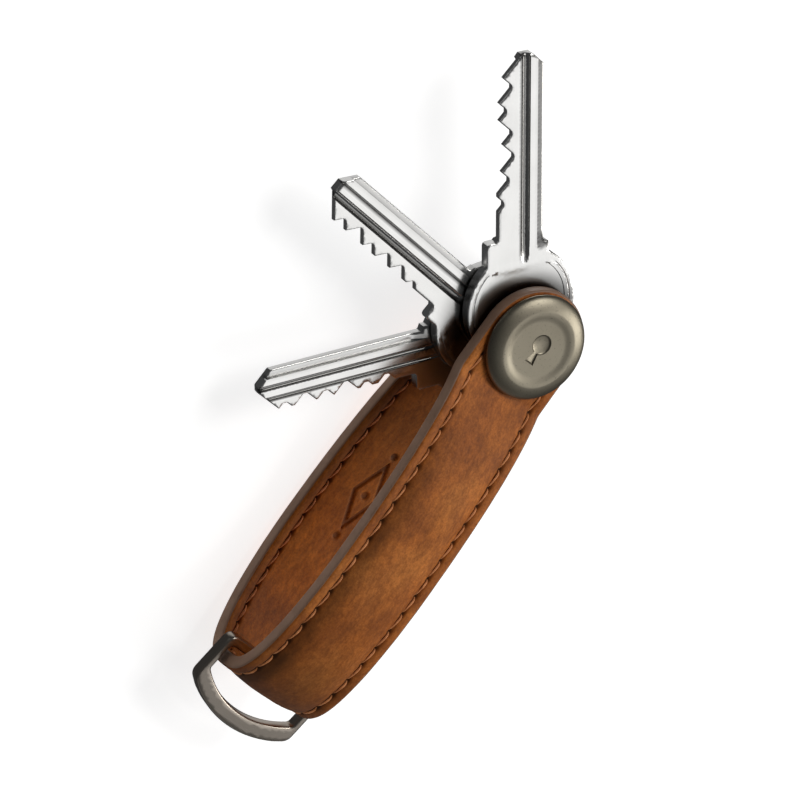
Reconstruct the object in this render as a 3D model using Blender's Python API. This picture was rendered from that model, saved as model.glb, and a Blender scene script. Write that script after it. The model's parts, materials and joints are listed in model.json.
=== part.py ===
"""Key organiser: a folded leather strap, three keys fanned on a clamped post, a D-ring in the fold.

The strap's width runs along X, its length along Y towards the post, and the post stands along Z.
Sizes are in millimetres and are turned into metres where the meshes are made.
"""
import math

import bmesh
import bpy
from mathutils import Vector

MM = 0.001

# Strap: two leather plies with a thin stiffener between them, folded once.
STRAP_WIDTH = 20.0
POST_TO_FOLD = 74.4
PLY = 1.05
CORE = 0.30
BOND_GAP = 0.05
CORE_INSET = 0.6
BELLY = 10.6
BELLY_AT = 46.0
BEND_LEAD = 1.0
BEND_REACH = 7.5
FOLD_FULLNESS = 3.2
BEND_STEPS = 12
FOLD_STEPS = 10
END_STEPS = 8

# Seams: a sunk channel on each face, with one run of thread lying in it.
SEAM_INSET = 2.4
CHANNEL_WIDTH = 0.70
CHANNEL_DEPTH = 0.48
THREAD_WIDTH = 0.46
THREAD_HEIGHT = 0.36
THREAD_BED = 0.06
SEAM_START = 5.0

# Keys and the washers between them.
KEY_THICKNESS = 2.0
WASHER_THICKNESS = 0.25
WASHER_RADIUS = 5.0
RUNNING_GAP = 0.075
BOW_RADIUS = 10.3
BOW_CENTRE = 6.7
SHOULDER_LENGTH = 4.0
BACK_STEP = 0.9
TIP_CHAMFER = 3.6
TIP_BACK_CHAMFER = 2.5
CUT_FLAT = 0.7
GROOVE_WIDTH = 1.6
GROOVE_DEPTH = 0.6
GROOVE_OFFSET = 0.6
RAIL_WIDTH = 1.3
RAIL_DEPTH = 0.7
TOOTH_THICKNESS = 1.1
TOOTH_LAND = 3.8
GROOVE_RUN_IN = 4.5

# Angle from +Y towards -X, blade offset from the post, blade width, shoulder step, shoulder and
# blade length, first cut, cut spacing, cut depths.
KEYS = (
    ("key_1", 41.4, 0.80, 8.90, 2.2, 19.0, 33.6, 6.9, 4.25, (0.95, 1.95, 2.85, 2.45, 1.35, 2.35)),
    ("key_2", 85.7, 1.25, 8.55, 2.4, 17.5, 31.3, 6.6, 3.90, (0.85, 1.65, 1.65, 1.25, 2.05, 1.35)),
    ("key_3", 133.4, 0.0, 7.40, 3.2, 18.4, 30.0, 5.7, 3.90, (1.30, 0.80, 1.90, 1.20, 1.70, 0.90)),
)

# Post, screw and buttons.
POST_RADIUS = 2.3
POST_CLEARANCE = 0.15
POST_FLANGE_RADIUS = 4.0
POST_FLANGE = 0.65
SEAT_GAP = 0.05
POST_SHORT = 0.3
SCREW_RADIUS = 1.5
SCREW_CLEARANCE = 0.1
SCREW_ENGAGED = 2.8
SCREW_HEAD_RADIUS = 4.5
SCREW_HEAD = 1.0
COIN_SLOT_WIDTH = 1.5
COIN_SLOT_DEPTH = 0.6
BUTTON_RADIUS = 9.5
BUTTON_FOOT = 0.8
FRONT_BUTTON_HEIGHT = 2.1
REAR_BUTTON_HEIGHT = 2.7
BUTTON_WAIST = 0.6
DISH_RADIUS = 6.6
CREST_WIDTH = 0.5
DISH_DEPTH = 0.4
DISH_SLOPE = 0.6
MARK_DEPTH = 0.2
MARK_RADIUS = 1.5
MARK_LENGTH = 4.4
MARK_WIDTH = 1.5
SPRING_THICKNESS = 0.18
SPRING_WAVE = 0.08
SPRING_RADIUS = 4.0
SPRING_WAVES = 3
BUTTON_MARGIN = 0.5
ROUND_STEPS = 40
SMALL_STEPS = 24

# D-ring.
RING_PLAY = 1.7
RING_TILT = 9.0
RING_YAW = -1.8
RING_THICKNESS = 2.4
RING_BAR = 1.8
RING_ARM = 1.4
RING_SIDE_PLAY = 0.75
RING_EYE = 9.65
RING_EYE_DROP = 3.4
RING_BOW = 3.0
RING_CORNER = 1.8
RING_EDGE = 0.5
RING_ARC_STEPS = 12

STRAP = 2.0 * PLY + CORE + 2.0 * BOND_GAP
STACK = len(KEYS) * KEY_THICKNESS + (len(KEYS) + 1) * (WASHER_THICKNESS + 2.0 * RUNNING_GAP)
LEG_INNER = STACK / 2.0
LEG_OUTER = LEG_INNER + STRAP
POST_HOLE = POST_RADIUS + POST_CLEARANCE
SCREW_HOLE = SCREW_RADIUS + SCREW_CLEARANCE
RING_AXIS_Y = -POST_TO_FOLD + STRAP + RING_PLAY


def clear_scene():
    for obj in list(bpy.data.objects):
        bpy.data.objects.remove(obj, do_unlink=True)


def material(name, colour, roughness, metallic):
    mat = bpy.data.materials.new(name)
    mat.use_nodes = True
    shader = mat.node_tree.nodes["Principled BSDF"]
    shader.inputs["Base Color"].default_value = (*colour, 1.0)
    shader.inputs["Roughness"].default_value = roughness
    shader.inputs["Metallic"].default_value = metallic
    return mat


def mesh_object(name, points, faces, mat, parent):
    """A named object from points in millimetres, shaded smooth except at its sharp edges."""
    mesh = bpy.data.meshes.new(name)
    mesh.from_pydata([Vector(p) * MM for p in points], [], faces)
    bm = bmesh.new()
    bm.from_mesh(mesh)
    bmesh.ops.recalc_face_normals(bm, faces=bm.faces)
    bm.to_mesh(mesh)
    bm.free()
    mesh.shade_smooth()
    mesh.set_sharp_from_angle(angle=math.radians(32.0))
    obj = bpy.data.objects.new(name, mesh)
    obj.data.materials.append(mat)
    obj.parent = parent
    bpy.context.collection.objects.link(obj)
    return obj


def loft(name, rings, mat, parent, closed=False):
    """A body through rings of equal count, capped at both ends unless it closes on itself."""
    count = len(rings[0])
    points = [p for ring in rings for p in ring]
    faces = []
    last = len(rings) if closed else len(rings) - 1
    for i in range(last):
        a = i * count
        b = ((i + 1) % len(rings)) * count
        for j in range(count):
            k = (j + 1) % count
            faces.append((a + j, a + k, b + k, b + j))
    if not closed:
        faces.append(tuple(range(count)))
        faces.append(tuple(range((len(rings) - 1) * count, len(rings) * count)))
    return mesh_object(name, points, faces, mat, parent)


def prism(name, outline, low, high, mat, parent):
    rings = [[(x, y, z) for x, y in outline] for z in (low, high)]
    return loft(name, rings, mat, parent)


def turned(name, profile, steps, mat, parent):
    """A body of revolution about Z. A profile whose ends are on the axis closes there."""
    points = []
    rings = []
    for radius, z in profile:
        if radius < 1e-9:
            rings.append([len(points)])
            points.append((0.0, 0.0, z))
            continue
        ring = []
        for i in range(steps):
            angle = math.tau * i / steps
            ring.append(len(points))
            points.append((radius * math.cos(angle), radius * math.sin(angle), z))
        rings.append(ring)
    closes = len(rings[0]) > 1
    faces = []
    for n in range(len(rings) if closes else len(rings) - 1):
        low = rings[n]
        high = rings[(n + 1) % len(rings)]
        for i in range(steps):
            k = (i + 1) % steps
            if len(low) == 1:
                faces.append((low[0], high[i], high[k]))
            elif len(high) == 1:
                faces.append((low[i], low[k], high[0]))
            else:
                faces.append((low[i], low[k], high[k], high[i]))
    return mesh_object(name, points, faces, mat, parent)


def circle(radius, steps, x=0.0, y=0.0):
    turns = [math.tau * i / steps for i in range(steps)]
    return [(x + radius * math.cos(t), y + radius * math.sin(t)) for t in turns]


def cut(obj, cutter):
    """Takes the cutter's space out of the object, and keeps the cutter as a hidden guide."""
    cutter.hide_render = True
    cutter.display_type = "WIRE"
    modifier = obj.modifiers.new("cut_" + cutter.name, "BOOLEAN")
    modifier.operation = "DIFFERENCE"
    modifier.solver = "EXACT"
    modifier.object = cutter


def leg_curve(side):
    """Outer face of one leg from the button's foot to its belly, as points (y, z)."""
    start = -(BUTTON_RADIUS - BUTTON_FOOT + BUTTON_MARGIN)
    ends = ((start, LEG_OUTER), (start - BEND_LEAD, LEG_OUTER))
    ends += ((start - BEND_REACH, BELLY), (-BELLY_AT, BELLY))
    points = []
    for i in range(BEND_STEPS + 1):
        t = i / BEND_STEPS
        share = ((1 - t) ** 3, 3 * (1 - t) ** 2 * t, 3 * (1 - t) * t * t, t ** 3)
        y = sum(w * p[0] for w, p in zip(share, ends))
        z = sum(w * p[1] for w, p in zip(share, ends))
        points.append((y, side * z))
    return points


def fold_curve(side):
    """Outer face of the fold from the belly to its tip, as points (y, z)."""
    points = []
    for i in range(1, FOLD_STEPS + 1):
        angle = 0.5 * math.pi * i / FOLD_STEPS
        height = max(math.cos(angle), 0.0) ** (2.0 / FOLD_FULLNESS)
        y = -BELLY_AT - (POST_TO_FOLD - BELLY_AT) * math.sin(angle)
        points.append((y, side * BELLY * height))
    return points


def strap_stations():
    """Stations along the strap's outer face: (y, z, inward y, inward z, half width)."""
    half = STRAP_WIDTH / 2.0
    angles = [math.radians(80.0) * (1.0 - i / END_STEPS) for i in range(END_STEPS + 1)]
    front = [(half * math.sin(a), LEG_OUTER, half * math.cos(a)) for a in angles]
    front.append((-SEAM_START, LEG_OUTER, half))
    front += [(y, z, half) for y, z in leg_curve(1.0)]
    front += [(y, z, half) for y, z in fold_curve(1.0)]
    back = [(half * math.sin(a), -LEG_OUTER, half * math.cos(a)) for a in angles]
    back.append((-SEAM_START, -LEG_OUTER, half))
    back += [(y, z, half) for y, z in leg_curve(-1.0)]
    back += [(y, z, half) for y, z in fold_curve(-1.0)[:-1]]
    path = front + back[::-1]
    stations = []
    for i, (y, z, width) in enumerate(path):
        before = path[max(i - 1, 0)]
        after = path[min(i + 1, len(path) - 1)]
        run = Vector((after[0] - before[0], after[1] - before[1])).normalized()
        stations.append((y, z, run.y, -run.x, width))
    return stations


def inward(station, depth):
    return station[0] - station[2] * depth, station[1] - station[3] * depth


def ply(name, stations, outer, inner, channel_on, mat, parent, cutter, inset=0.0):
    """One layer of the strap between two depths from the outer face, with its seam channels."""
    half = STRAP_WIDTH / 2.0
    seam = half - SEAM_INSET
    near = seam - CHANNEL_WIDTH / 2.0
    far = seam + CHANNEL_WIDTH / 2.0
    rings = []
    for station in stations:
        share = station[4] / half
        side = station[4] - inset * share
        upper = [(-side, outer), (side, outer)]
        lower = [(side, inner), (-side, inner)]
        if channel_on == "outer":
            floor = outer + CHANNEL_DEPTH
            marks = [(-far, outer), (-far, floor), (-near, floor), (-near, outer)]
            marks += [(near, outer), (near, floor), (far, floor), (far, outer)]
            upper[1:1] = [(x * share, d) for x, d in marks]
        if channel_on == "inner":
            floor = inner - CHANNEL_DEPTH
            marks = [(far, inner), (far, floor), (near, floor), (near, inner)]
            marks += [(-near, inner), (-near, floor), (-far, floor), (-far, inner)]
            lower[1:1] = [(x * share, d) for x, d in marks]
        rings.append([(x, *inward(station, d)) for x, d in upper + lower])
    obj = loft(name, rings, mat, parent)
    cut(obj, cutter)
    return obj


def thread(name, stations, x, top, mat, parent):
    """One run of thread lying in its channel, from one end of the seam to the other."""
    rings = []
    for station in stations:
        ring = []
        for dx, depth in ((-1, top), (1, top), (1, top + THREAD_HEIGHT), (-1, top + THREAD_HEIGHT)):
            ring.append((x + dx * THREAD_WIDTH / 2.0, *inward(station, depth)))
        rings.append(ring)
    return loft(name, rings, mat, parent)


def strap(mats, parent):
    stations = strap_stations()
    hole = prism("post_hole_cutter", circle(POST_HOLE, SMALL_STEPS),
                 -LEG_OUTER - 1.0, LEG_OUTER + 1.0, mats["steel"], parent)
    core_top = PLY + BOND_GAP
    inner_top = core_top + CORE + BOND_GAP
    ply("strap_outer_leather", stations, 0.0, PLY, "outer", mats["leather"], parent, hole)
    ply("strap_core", stations, core_top, core_top + CORE, "", mats["core"], parent, hole, CORE_INSET)
    ply("strap_inner_leather", stations, inner_top, STRAP, "inner", mats["lining"], parent, hole)
    sewn = [s for s in stations if s[0] <= -SEAM_START + 1e-6]
    seam = STRAP_WIDTH / 2.0 - SEAM_INSET
    deep = CHANNEL_DEPTH - THREAD_BED - THREAD_HEIGHT
    for side, x in (("left", -seam), ("right", seam)):
        thread("outer_stitch_" + side, sewn, x, deep, mats["thread"], parent)
        inner = STRAP - CHANNEL_DEPTH + THREAD_BED
        thread("inner_stitch_" + side, sewn, x, inner, mats["thread"], parent)


def cut_edge(shoulder, first, spacing, depths):
    """The bitted edge from shoulder to tip as (distance, depth), with 45 degree ramps."""
    points = []
    places = [shoulder + first + i * spacing for i in range(len(depths))]
    points.append((places[0] - CUT_FLAT / 2.0 - depths[0], 0.0))
    for i, (place, depth) in enumerate(zip(places, depths)):
        points.append((place - CUT_FLAT / 2.0, depth))
        points.append((place + CUT_FLAT / 2.0, depth))
        if i + 1 == len(depths):
            break
        room = spacing - CUT_FLAT
        peak = max((depth + depths[i + 1] - room) / 2.0, 0.0)
        points.append((place + CUT_FLAT / 2.0 + depth - peak, peak))
        if peak <= 0.0 and room > depth + depths[i + 1] + 0.05:
            points.append((places[i + 1] - CUT_FLAT / 2.0 - depths[i + 1], 0.0))
    return points


def key_outline(drop, width, step, shoulder, length, edge):
    """Outline of one key seen from the front, its bow round the post and its blade along +Y."""
    half = width / 2.0
    tip = shoulder + length
    outer_step = half + step
    back_step = half + BACK_STEP
    start = math.asin(back_step / BOW_RADIUS)
    stop = math.asin(outer_step / BOW_RADIUS)
    sweep = math.tau - start - stop
    outline = []
    for i in range(33):
        angle = start + sweep * i / 32.0
        outline.append((BOW_RADIUS * math.sin(angle), BOW_CENTRE + BOW_RADIUS * math.cos(angle)))
    outline.append((-outer_step, shoulder - 0.5))
    outline.append((-outer_step + 0.5, shoulder))
    outline.append((-half, shoulder))
    outline += [(-half + depth, y) for y, depth in edge]
    last_y, last_depth = edge[-1]
    rise = min(tip - TIP_CHAMFER - last_y, last_depth)
    outline.append((-half + last_depth - rise, last_y + rise))
    run = TIP_CHAMFER
    outline.append((-half + last_depth - rise + run, tip))
    outline.append((half - TIP_BACK_CHAMFER, tip))
    outline.append((half, tip - TIP_BACK_CHAMFER))
    outline.append((half, shoulder - 1.2))
    outline.append((back_step, shoulder - 1.7))
    return [(x - drop, y) for x, y in outline]


def slot_cutter(name, x0, x1, y0, y1, z0, z1, mat, parent):
    return prism(name, [(x0, y0), (x1, y0), (x1, y1), (x0, y1)], z0, z1, mat, parent)


def key(spec, level, mat, parent):
    name, angle, drop, width, step, shoulder, length, first, spacing, depths = spec
    half = width / 2.0
    low = -KEY_THICKNESS / 2.0
    high = KEY_THICKNESS / 2.0
    edge = cut_edge(shoulder, first, spacing, depths)
    outline = key_outline(drop, width, step, shoulder, length, edge)
    obj = prism(name, outline, low, high, mat, parent)
    start = shoulder - GROOVE_RUN_IN
    end = shoulder + length + 1.0
    pieces = (
        ("groove", GROOVE_OFFSET - GROOVE_WIDTH / 2.0, GROOVE_OFFSET + GROOVE_WIDTH / 2.0,
         high - GROOVE_DEPTH, high + 1.0),
        ("rail", half - RAIL_WIDTH, half + 0.4, high - RAIL_DEPTH, high + 1.0),
        ("land", -half - 0.4, -half + TOOTH_LAND, low - 1.0, high - TOOTH_THICKNESS),
    )
    cutters = []
    for part, x0, x1, z0, z1 in pieces:
        y0 = shoulder + 0.4 if part == "land" else start
        cutters.append(slot_cutter(name + "_" + part, x0 - drop, x1 - drop, y0, end,
                                   z0, z1, mat, parent))
    hole = prism(name + "_hole", circle(POST_HOLE, SMALL_STEPS), low - 1.0, high + 1.0, mat, parent)
    for cutter in cutters + [hole]:
        cut(obj, cutter)
    for piece in [obj] + cutters + [hole]:
        piece.location.z = level * MM
        piece.rotation_euler.z = math.radians(angle)


def washer(name, level, mat, parent):
    half = WASHER_THICKNESS / 2.0
    profile = [(POST_HOLE, -half), (WASHER_RADIUS, -half), (WASHER_RADIUS, half), (POST_HOLE, half)]
    obj = turned(name, profile, SMALL_STEPS, mat, parent)
    obj.location.z = level * MM


def key_stack(mats, parent):
    """Washers and keys in turn from the front leg to the back leg."""
    names = ["front_washer", "spacer_1_2", "spacer_2_3", "rear_washer"]
    z = LEG_INNER
    for i, name in enumerate(names):
        z -= RUNNING_GAP + WASHER_THICKNESS / 2.0
        washer(name, z, mats["nylon"], parent)
        z -= WASHER_THICKNESS / 2.0 + RUNNING_GAP
        if i < len(KEYS):
            z -= KEY_THICKNESS / 2.0
            key(KEYS[i], z, mats["nickel"], parent)
            z -= KEY_THICKNESS / 2.0


def button_profile(height):
    """Half section of a dished button from its foot to its dish, heights above the leather."""
    foot = BUTTON_RADIUS - BUTTON_FOOT
    crest = DISH_RADIUS + CREST_WIDTH
    points = [(foot, SEAT_GAP), (BUTTON_RADIUS - 0.3 * BUTTON_FOOT, 0.6 * BUTTON_WAIST)]
    points.append((BUTTON_RADIUS, BUTTON_WAIST))
    for i in range(1, 6):
        angle = 0.5 * math.pi * i / 5.0
        radius = crest + (BUTTON_RADIUS - crest) * math.cos(angle)
        points.append((radius, BUTTON_WAIST + (height - BUTTON_WAIST) * math.sin(angle)))
    points.append((DISH_RADIUS, height))
    points.append((DISH_RADIUS - DISH_SLOPE, height - DISH_DEPTH))
    return points


def mark_outline():
    """A plain keyhole: a round eye with a flared slot below it."""
    eye_y = MARK_LENGTH / 2.0 - MARK_RADIUS
    half = MARK_WIDTH / 2.0
    outline = []
    spread = math.asin(0.5 * half / MARK_RADIUS)
    for i in range(17):
        angle = -math.pi / 2.0 + spread + (math.tau - 2.0 * spread) * i / 16.0
        outline.append((MARK_RADIUS * math.cos(angle), eye_y + MARK_RADIUS * math.sin(angle)))
    outline.append((-half, -MARK_LENGTH / 2.0))
    outline.append((half, -MARK_LENGTH / 2.0))
    return outline


def front_button(mats, parent):
    seat = POST_FLANGE + 2.0 * SEAT_GAP
    pocket = POST_FLANGE_RADIUS + 2.0 * SEAT_GAP
    floor = FRONT_BUTTON_HEIGHT - DISH_DEPTH
    profile = [(0.0, seat), (pocket, seat), (pocket, SEAT_GAP)]
    profile += button_profile(FRONT_BUTTON_HEIGHT)
    profile.append((0.0, floor))
    profile = [(r, z + LEG_OUTER) for r, z in profile]
    obj = turned("front_button", profile, ROUND_STEPS, mats["bronze"], parent)
    low = LEG_OUTER + floor - MARK_DEPTH
    mark = prism("mark_cutter", mark_outline(), low, low + 2.0, mats["bronze"], parent)
    cut(obj, mark)


def post(mats, parent):
    """Internally threaded post with a flange seated under the front button."""
    flange = LEG_OUTER + SEAT_GAP
    end = -LEG_OUTER + POST_SHORT
    roof = LEG_OUTER - 1.0
    profile = [(0.0, flange + POST_FLANGE), (POST_FLANGE_RADIUS, flange + POST_FLANGE)]
    profile += [(POST_FLANGE_RADIUS, flange), (POST_RADIUS, flange), (POST_RADIUS, end)]
    profile += [(SCREW_HOLE, end), (SCREW_HOLE, roof), (0.0, roof)]
    turned("threaded_post", profile, SMALL_STEPS, mats["steel"], parent)


def rear_button(mats, parent):
    spring_room = SPRING_THICKNESS + 2.0 * SPRING_WAVE + 3.0 * SEAT_GAP
    bore = SCREW_HOLE
    pocket = SPRING_RADIUS + 2.0 * SEAT_GAP
    head_room = SCREW_HEAD_RADIUS + SEAT_GAP + 0.05
    floor = REAR_BUTTON_HEIGHT - DISH_DEPTH
    ledge = floor - SCREW_HEAD - SEAT_GAP
    profile = [(bore, spring_room), (pocket, spring_room), (pocket, SEAT_GAP)]
    profile += button_profile(REAR_BUTTON_HEIGHT)
    profile += [(head_room, floor), (head_room, ledge), (bore, ledge)]
    profile = [(r, -z - LEG_OUTER) for r, z in profile]
    turned("rear_button", profile, ROUND_STEPS, mats["bronze"], parent)


def clamp_screw(mats, parent):
    """Coin screw: its head sits in the rear button and its shank reaches into the post."""
    face = -LEG_OUTER - (REAR_BUTTON_HEIGHT - DISH_DEPTH)
    under = face + SCREW_HEAD
    tip = -LEG_OUTER + POST_SHORT + SCREW_ENGAGED
    profile = [(0.0, face), (SCREW_HEAD_RADIUS - 0.2, face), (SCREW_HEAD_RADIUS, face + 0.2)]
    profile += [(SCREW_HEAD_RADIUS, under), (SCREW_RADIUS, under), (SCREW_RADIUS, tip - 0.3)]
    profile += [(SCREW_RADIUS - 0.3, tip), (0.0, tip)]
    obj = turned("clamp_screw", profile, SMALL_STEPS, mats["steel"], parent)
    half = COIN_SLOT_WIDTH / 2.0
    reach = SCREW_HEAD_RADIUS + 1.0
    slot = slot_cutter("coin_slot_cutter", -half, half, -reach, reach,
                       face - 1.0, face + COIN_SLOT_DEPTH, mats["steel"], parent)
    cut(obj, slot)


def spring_washer(mats, parent):
    """Wavy spring washer between the rear leg and the rear button."""
    middle = -LEG_OUTER - SEAT_GAP - SPRING_WAVE - SPRING_THICKNESS / 2.0
    inner = POST_HOLE - 0.3
    rings = []
    for i in range(36):
        angle = math.tau * i / 36.0
        z = middle + SPRING_WAVE * math.cos(SPRING_WAVES * angle)
        half = SPRING_THICKNESS / 2.0
        section = ((inner, -half), (SPRING_RADIUS, -half), (SPRING_RADIUS, half), (inner, half))
        rings.append([(r * math.cos(angle), r * math.sin(angle), z + h) for r, h in section])
    loft("spring_washer", rings, mats["spring"], parent, closed=True)


def arc(centre_y, radius, half_width, steps):
    """Points of a bow arc below its centre, from the +X side to the -X side."""
    reach = math.asin(half_width / radius)
    turns = [reach * (1.0 - 2.0 * i / steps) for i in range(steps + 1)]
    return [(radius * math.sin(t), centre_y - radius * math.cos(t)) for t in turns]


def bow_radius(half_width, drop):
    return (half_width ** 2 + drop ** 2) / (2.0 * drop)


def d_ring(mats, parent):
    """Flat D-shaped ring whose bar lies in the fold and whose eye hangs below it."""
    inner_half = STRAP_WIDTH / 2.0 + RING_SIDE_PLAY
    outer_half = inner_half + RING_ARM
    bar = RING_BAR / 2.0
    inner_radius = bow_radius(inner_half, RING_EYE_DROP)
    outer_radius = inner_radius + RING_BOW
    centre = -RING_EYE + inner_radius
    corner = RING_CORNER
    outline = [(outer_half - corner, bar), (-outer_half + corner, bar)]
    left_top = [(-outer_half + 0.4 * corner, bar - 0.25 * corner), (-outer_half, bar - corner)]
    bottom = arc(centre, outer_radius, outer_half - 0.35 * corner, RING_ARC_STEPS)[::-1]
    side_y = bottom[0][1] + 0.9 * corner
    outline += left_top
    outline.append((-outer_half, side_y))
    outline += bottom
    outline.append((outer_half, side_y))
    outline += [(-x, y) for x, y in left_top[::-1]]
    eye = [(-inner_half, -bar), (inner_half, -bar)]
    eye += arc(centre, inner_radius, inner_half, RING_ARC_STEPS)
    half = RING_THICKNESS / 2.0
    obj = prism("d_ring", outline, -half, half, mats["gunmetal"], parent)
    hole = prism("ring_eye_cutter", eye, -half - 1.0, half + 1.0, mats["gunmetal"], parent)
    cut(obj, hole)
    edge = obj.modifiers.new("edge", "BEVEL")
    edge.width = RING_EDGE * MM
    edge.segments = 2
    edge.limit_method = "ANGLE"
    edge.angle_limit = math.radians(50.0)
    for piece in (obj, hole):
        piece.location.y = RING_AXIS_Y * MM
        piece.rotation_euler = (math.radians(RING_TILT), 0.0, math.radians(RING_YAW))


def stand_on_origin(root):
    """Moves the assembly so that the middle of its box stands on the origin."""
    bpy.context.view_layer.update()
    graph = bpy.context.evaluated_depsgraph_get()
    low = Vector((1e9, 1e9, 1e9))
    high = -low
    for obj in root.children:
        if obj.hide_render:
            continue
        shape = obj.evaluated_get(graph)
        mesh = shape.to_mesh()
        for vertex in mesh.vertices:
            place = shape.matrix_world @ vertex.co
            low = Vector(map(min, low, place))
            high = Vector(map(max, high, place))
        shape.to_mesh_clear()
    root.location = (-(low.x + high.x) / 2.0, -(low.y + high.y) / 2.0, -low.z)
    bpy.context.view_layer.update()


def main():
    clear_scene()
    root = bpy.data.objects.new("organiser", None)
    bpy.context.collection.objects.link(root)
    mats = {
        "leather": material("tan_leather", (0.37, 0.135, 0.050), 0.55, 0.0),
        "lining": material("tan_lining", (0.33, 0.115, 0.040), 0.60, 0.0),
        "core": material("stiffener", (0.10, 0.07, 0.05), 0.80, 0.0),
        "thread": material("ochre_thread", (0.62, 0.27, 0.10), 0.65, 0.0),
        "bronze": material("olive_bronze", (0.26, 0.23, 0.17), 0.35, 1.0),
        "gunmetal": material("gunmetal", (0.10, 0.09, 0.085), 0.30, 1.0),
        "steel": material("steel", (0.45, 0.44, 0.42), 0.35, 1.0),
        "spring": material("spring_steel", (0.50, 0.50, 0.50), 0.30, 1.0),
        "nickel": material("nickel", (0.80, 0.79, 0.77), 0.25, 1.0),
        "nylon": material("black_nylon", (0.03, 0.03, 0.03), 0.50, 0.0),
    }
    strap(mats, root)
    key_stack(mats, root)
    front_button(mats, root)
    post(mats, root)
    rear_button(mats, root)
    clamp_screw(mats, root)
    spring_washer(mats, root)
    d_ring(mats, root)
    stand_on_origin(root)


main()
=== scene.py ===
"""Looks for the key organiser: leather, painted edges, stitches, keys, ring and buttons."""
import json
import math

import bmesh
import bpy
import numpy as np
from mathutils import Matrix, Vector, noise
from mathutils.geometry import delaunay_2d_cdt


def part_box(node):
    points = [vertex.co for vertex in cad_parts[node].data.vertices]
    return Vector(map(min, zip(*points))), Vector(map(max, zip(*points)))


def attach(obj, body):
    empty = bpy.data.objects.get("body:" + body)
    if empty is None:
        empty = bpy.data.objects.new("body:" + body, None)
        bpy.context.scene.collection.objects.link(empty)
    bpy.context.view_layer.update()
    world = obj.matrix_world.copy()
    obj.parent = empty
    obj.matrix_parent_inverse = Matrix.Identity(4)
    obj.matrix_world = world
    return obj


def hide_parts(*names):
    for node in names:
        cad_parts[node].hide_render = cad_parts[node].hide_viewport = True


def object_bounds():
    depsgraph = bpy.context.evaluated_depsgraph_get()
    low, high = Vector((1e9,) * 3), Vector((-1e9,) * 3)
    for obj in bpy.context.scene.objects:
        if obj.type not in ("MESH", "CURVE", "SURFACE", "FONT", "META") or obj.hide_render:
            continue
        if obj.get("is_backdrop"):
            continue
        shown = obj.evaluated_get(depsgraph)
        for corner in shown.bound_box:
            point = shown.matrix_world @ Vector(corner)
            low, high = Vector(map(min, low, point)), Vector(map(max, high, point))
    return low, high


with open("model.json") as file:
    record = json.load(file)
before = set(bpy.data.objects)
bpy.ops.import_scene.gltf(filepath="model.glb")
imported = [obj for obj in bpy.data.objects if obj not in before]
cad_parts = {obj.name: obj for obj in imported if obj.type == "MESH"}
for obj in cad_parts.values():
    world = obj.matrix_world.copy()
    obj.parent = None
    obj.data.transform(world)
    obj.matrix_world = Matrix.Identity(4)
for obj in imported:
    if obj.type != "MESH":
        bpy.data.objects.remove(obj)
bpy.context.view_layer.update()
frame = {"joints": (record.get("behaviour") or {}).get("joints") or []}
MM = 0.001


def middle(node):
    low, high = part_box(node)
    return (low + high) / 2.0


POST = Vector((middle("threaded_post").x, middle("threaded_post").y, middle("strap_outer_leather").z))
RING_JOINT = [j for j in frame["joints"] if j["name"] == "d_ring_swing"][0]
RING_AXIS = Vector(RING_JOINT["pos_m"])
RING_LINE = Vector(RING_JOINT["axis"]).normalized()

# Strap, millimetres, post axis at the origin (x across, l along, n out of the front).
HALF_WIDTH = 10.0
LEG_FACE = 6.3
BELLY = 10.6
BELLY_AT = 46.0
POST_TO_FOLD = 74.4
FLAT_END = 9.2
BEND_LEAD = 1.0
BEND_REACH = 7.5
FOLD_FULLNESS = 3.2
PLY = 1.05
STRAP_THICKNESS = 2.5
SEAM = 7.6
STITCH_PITCH = 3.7
HOLE_RADIUS = 2.45


def smooth(low, high, value):
    t = np.clip((value - low) / (high - low), 0.0, 1.0)
    return t * t * (3.0 - 2.0 * t)


# ---------------------------------------------------------------- materials

def graph(name):
    mat = bpy.data.materials.new(name)
    mat.use_nodes = True
    tree = mat.node_tree
    shader = tree.nodes["Principled BSDF"]
    return mat, tree, shader


def coordinates(tree, stretch=(1.0, 1.0, 1.0), attribute=None):
    """Object coordinates, or those kept in a vector attribute, stretched along the axes."""
    mapping = tree.nodes.new("ShaderNodeMapping")
    mapping.inputs["Scale"].default_value = stretch
    if attribute:
        source = tree.nodes.new("ShaderNodeAttribute")
        source.attribute_name = attribute
        tree.links.new(source.outputs["Vector"], mapping.inputs["Vector"])
    else:
        source = tree.nodes.new("ShaderNodeTexCoord")
        tree.links.new(source.outputs["Object"], mapping.inputs["Vector"])
    return mapping.outputs["Vector"]


def noise_node(tree, vector, scale, detail=2.0, rough=0.5):
    node = tree.nodes.new("ShaderNodeTexNoise")
    node.inputs["Scale"].default_value = scale
    node.inputs["Detail"].default_value = detail
    node.inputs["Roughness"].default_value = rough
    tree.links.new(vector, node.inputs["Vector"])
    return node.outputs["Fac"]


def ramp(tree, source, stops):
    node = tree.nodes.new("ShaderNodeValToRGB")
    band = node.color_ramp
    while len(band.elements) < len(stops):
        band.elements.new(0.5)
    for element, (place, colour) in zip(band.elements, stops):
        element.position = place
        element.color = (*colour, 1.0)
    tree.links.new(source, node.inputs["Fac"])
    return node.outputs["Color"]


def mix(tree, factor, a, b, blend="MIX"):
    node = tree.nodes.new("ShaderNodeMix")
    node.data_type = "RGBA"
    node.blend_type = blend
    for value, socket in ((factor, node.inputs[0]), (a, node.inputs[6]), (b, node.inputs[7])):
        if isinstance(value, (int, float)):
            socket.default_value = value
        elif isinstance(value, tuple):
            socket.default_value = (*value, 1.0)
        else:
            tree.links.new(value, socket)
    return node.outputs[2]


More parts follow.
